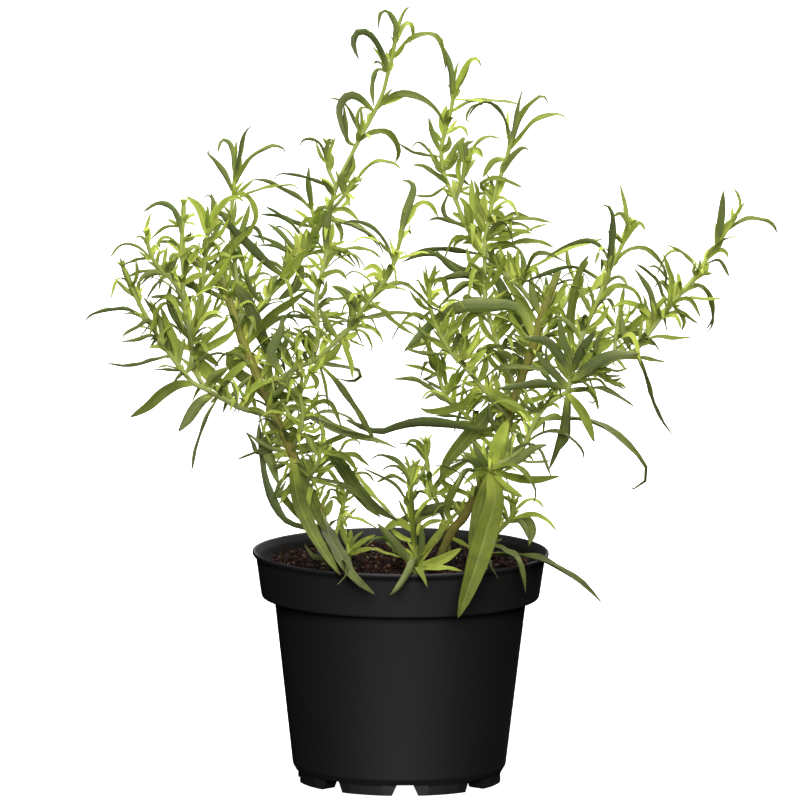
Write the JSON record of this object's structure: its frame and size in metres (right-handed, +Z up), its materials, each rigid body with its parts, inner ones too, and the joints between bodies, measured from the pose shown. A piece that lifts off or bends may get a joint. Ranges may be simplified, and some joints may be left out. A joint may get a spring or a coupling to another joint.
{
  "type": "potted tarragon",
  "caption": "Bushy tarragon plant with narrow lance leaves on branching stems, growing in soil in a round black nursery pot with a deep collar.",
  "frame": {"origin": "middle of the pot's foot, on the surface that it stands on", "axes": "+Z up, +Y away from the viewer of the front, +X to that viewer's right"},
  "size_m": [0.3015, 0.1536, 0.3383],
  "materials": {
    "black_plastic": "moulded black polypropylene, satin",
    "peat": "loose dark peat, fibrous and matt",
    "foliage": "living leaf and stem, matt grey-green to yellow-green"
  },
  "bodies": {
    "root": {"pot": "black_plastic", "soil": "peat", "left_stem": "foliage", "right_stem": "foliage", "front_rosette": "foliage", "left_rosette": "foliage", "middle_shoot": "foliage", "thin_shoot": "foliage", "right_shoot": "foliage"}
  },
  "joints": []
}
